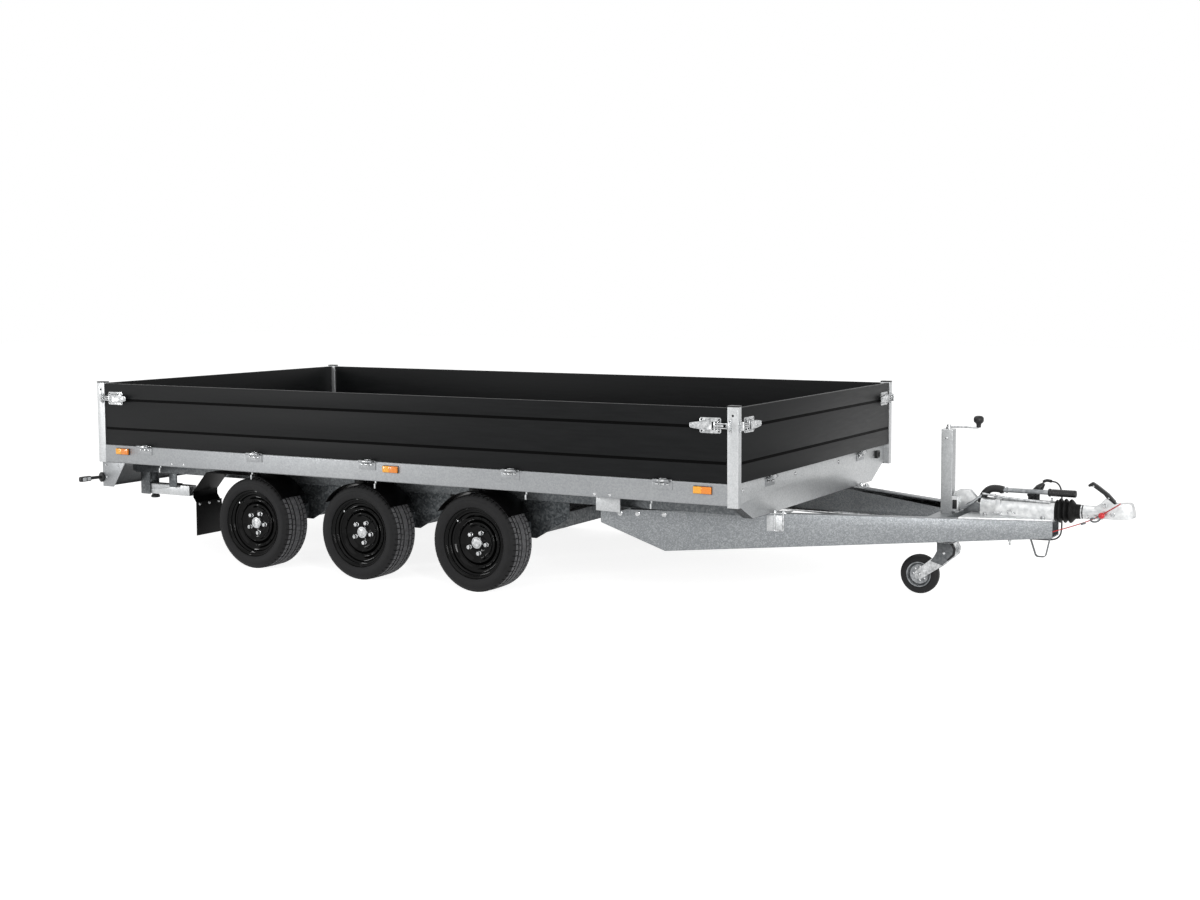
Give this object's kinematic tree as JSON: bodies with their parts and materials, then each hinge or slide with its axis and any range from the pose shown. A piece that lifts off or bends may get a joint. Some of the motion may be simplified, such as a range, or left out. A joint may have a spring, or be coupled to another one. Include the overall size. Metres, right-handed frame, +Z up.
{
  "type": "flatbed trailer",
  "caption": "Long low flatbed trailer with fold-down dark plywood sides, black steel wheels, a galvanised A-frame drawbar and a jockey wheel",
  "frame": {"origin": "on the ground in the middle of the trailer's overall length and width", "axes": "+X forwards, towards the coupling; +Y to the left; +Z up from the ground"},
  "size_m": [5.74, 2.3878, 1.009],
  "materials": {
    "amber_lens": "amber reflector",
    "axle_zinc": "hot-dip galvanised, dull",
    "black_cable": "black sheathed cable",
    "black_plastic": "moulded black plastic",
    "black_steel": "black gloss paint on pressed steel",
    "board_ply": "black phenolic film on birch plywood, satin",
    "cast_zinc": "cast, satin",
    "deck_ply": "dark brown phenolic film, mesh grip",
    "drawbar_zinc": "hot-dip galvanised, mottled",
    "flap_rubber": "black rubber",
    "front_sheet": "galvanised sheet, spangle",
    "galvanised_frame": "hot-dip galvanised",
    "galvanised_post": "hot-dip galvanised, light",
    "galvanised_rim": "hot-dip galvanised, light spangle",
    "guard_plastic": "black polyethylene, satin",
    "jockey_rim": "zinc-coated pressed steel",
    "jockey_rubber": "black solid rubber",
    "red_cable": "red plastic-coated wire",
    "red_lens": "red lens",
    "tyre": "black rubber, road tread",
    "zinc_plate": "bright zinc plated"
  },
  "bodies": {
    "chassis": {"axles": "axle_zinc", "bed_rims": "galvanised_rim", "bellows": "flap_rubber", "brake_rod": "zinc_plate", "breakaway_cable": "red_cable", "corner_posts": "galvanised_post", "coupling_handle": "black_plastic", "coupling_head": "cast_zinc", "cross_members": "galvanised_frame", "drawbar_brackets": "galvanised_frame", "drawbar_frame": "drawbar_zinc", "floor_panel": "deck_ply", "front_panel": "front_sheet", "handbrake_lever": "black_plastic", "hinge_brackets": "zinc_plate", "jockey_tube": "drawbar_zinc", "lashing_hooks": "galvanised_frame", "latch_catches": "zinc_plate", "light_board": "galvanised_frame", "long_members": "galvanised_frame", "mudflaps": "flap_rubber", "mudguards": "guard_plastic", "outline_lamps": "black_plastic", "overrun_housing": "cast_zinc", "plug_cable": "black_cable", "plug_holder": "black_plastic", "post_caps": "black_plastic", "rear_lamps": "red_lens", "safety_stirrup": "zinc_plate", "side_markers": "amber_lens", "stand_brackets": "galvanised_frame"},
    "right_side": {"right_board": "board_ply", "right_board_fittings": "zinc_plate"},
    "left_side": {"left_board": "board_ply", "left_board_fittings": "zinc_plate"},
    "front_side": {"front_board": "board_ply", "front_board_fittings": "zinc_plate"},
    "rear_side": {"rear_board": "board_ply", "rear_board_fittings": "zinc_plate"},
    "rear_right_roller": {"rear_right_tyre": "tyre", "rear_right_wheel": "black_steel"},
    "rear_left_roller": {"rear_left_tyre": "tyre", "rear_left_wheel": "black_steel"},
    "middle_right_roller": {"middle_right_tyre": "tyre", "middle_right_wheel": "black_steel"},
    "middle_left_roller": {"middle_left_tyre": "tyre", "middle_left_wheel": "black_steel"},
    "front_right_roller": {"front_right_tyre": "tyre", "front_right_wheel": "black_steel"},
    "front_left_roller": {"front_left_tyre": "tyre", "front_left_wheel": "black_steel"},
    "jockey_leg": {"jockey_stem": "zinc_plate"},
    "jockey_castor": {"jockey_fork": "zinc_plate"},
    "jockey_roller": {"jockey_tyre": "jockey_rubber", "jockey_wheel": "jockey_rim"},
    "right_prop": {"right_stand": "drawbar_zinc"},
    "left_prop": {"left_stand": "drawbar_zinc"}
  },
  "joints": [
    {"name": "right_side_hinge", "type": "hinge", "parent": "chassis", "child": "right_side", "pos_m": [-0.785, -1.068, 0.643], "axis": [1, 0, 0], "range_deg": [0, 180]},
    {"name": "left_side_hinge", "type": "hinge", "parent": "chassis", "child": "left_side", "pos_m": [-0.785, 1.068, 0.643], "axis": [-1, 0, 0], "range_deg": [0, 180]},
    {"name": "front_side_hinge", "type": "hinge", "parent": "chassis", "child": "front_side", "pos_m": [1.267, 0, 0.633], "axis": [0, 1, 0], "range_deg": [0, 110]},
    {"name": "rear_side_hinge", "type": "hinge", "parent": "chassis", "child": "rear_side", "pos_m": [-2.863, 0, 0.643], "axis": [0, -1, 0], "range_deg": [0, 180]},
    {"name": "rear_right_spin", "type": "hinge", "parent": "chassis", "child": "rear_right_roller", "pos_m": [-1.6915, -0.95, 0.2525], "axis": [0, 1, 0], "continuous": true},
    {"name": "rear_left_spin", "type": "hinge", "parent": "chassis", "child": "rear_left_roller", "pos_m": [-1.6915, 0.95, 0.2525], "axis": [0, 1, 0], "continuous": true},
    {"name": "middle_right_spin", "type": "hinge", "parent": "chassis", "child": "middle_right_roller", "pos_m": [-0.955, -0.95, 0.2525], "axis": [0, 1, 0], "continuous": true},
    {"name": "middle_left_spin", "type": "hinge", "parent": "chassis", "child": "middle_left_roller", "pos_m": [-0.955, 0.95, 0.2525], "axis": [0, 1, 0], "continuous": true},
    {"name": "front_right_spin", "type": "hinge", "parent": "chassis", "child": "front_right_roller", "pos_m": [-0.2185, -0.95, 0.2525], "axis": [0, 1, 0], "continuous": true},
    {"name": "front_left_spin", "type": "hinge", "parent": "chassis", "child": "front_left_roller", "pos_m": [-0.2185, 0.95, 0.2525], "axis": [0, 1, 0], "continuous": true},
    {"name": "jockey_height", "type": "slide", "parent": "chassis", "child": "jockey_leg", "axis": [0, 0, 1], "range_m": [-0.06, 0.095]},
    {"name": "jockey_swivel", "type": "hinge", "parent": "jockey_leg", "child": "jockey_castor", "pos_m": [1.9475, 0, 0.255], "axis": [0, 0, 1], "continuous": true},
    {"name": "jockey_spin", "type": "hinge", "parent": "jockey_castor", "child": "jockey_roller", "pos_m": [1.8065, 0, 0.1], "axis": [0, 1, 0], "continuous": true},
    {"name": "right_prop_fold", "type": "hinge", "parent": "chassis", "child": "right_prop", "pos_m": [-2.745, -0.76, 0.36], "axis": [0, 1, 0], "range_deg": [0, 90]},
    {"name": "left_prop_fold", "type": "hinge", "parent": "chassis", "child": "left_prop", "pos_m": [-2.745, 0.76, 0.36], "axis": [0, 1, 0], "range_deg": [0, 90]}
  ]
}
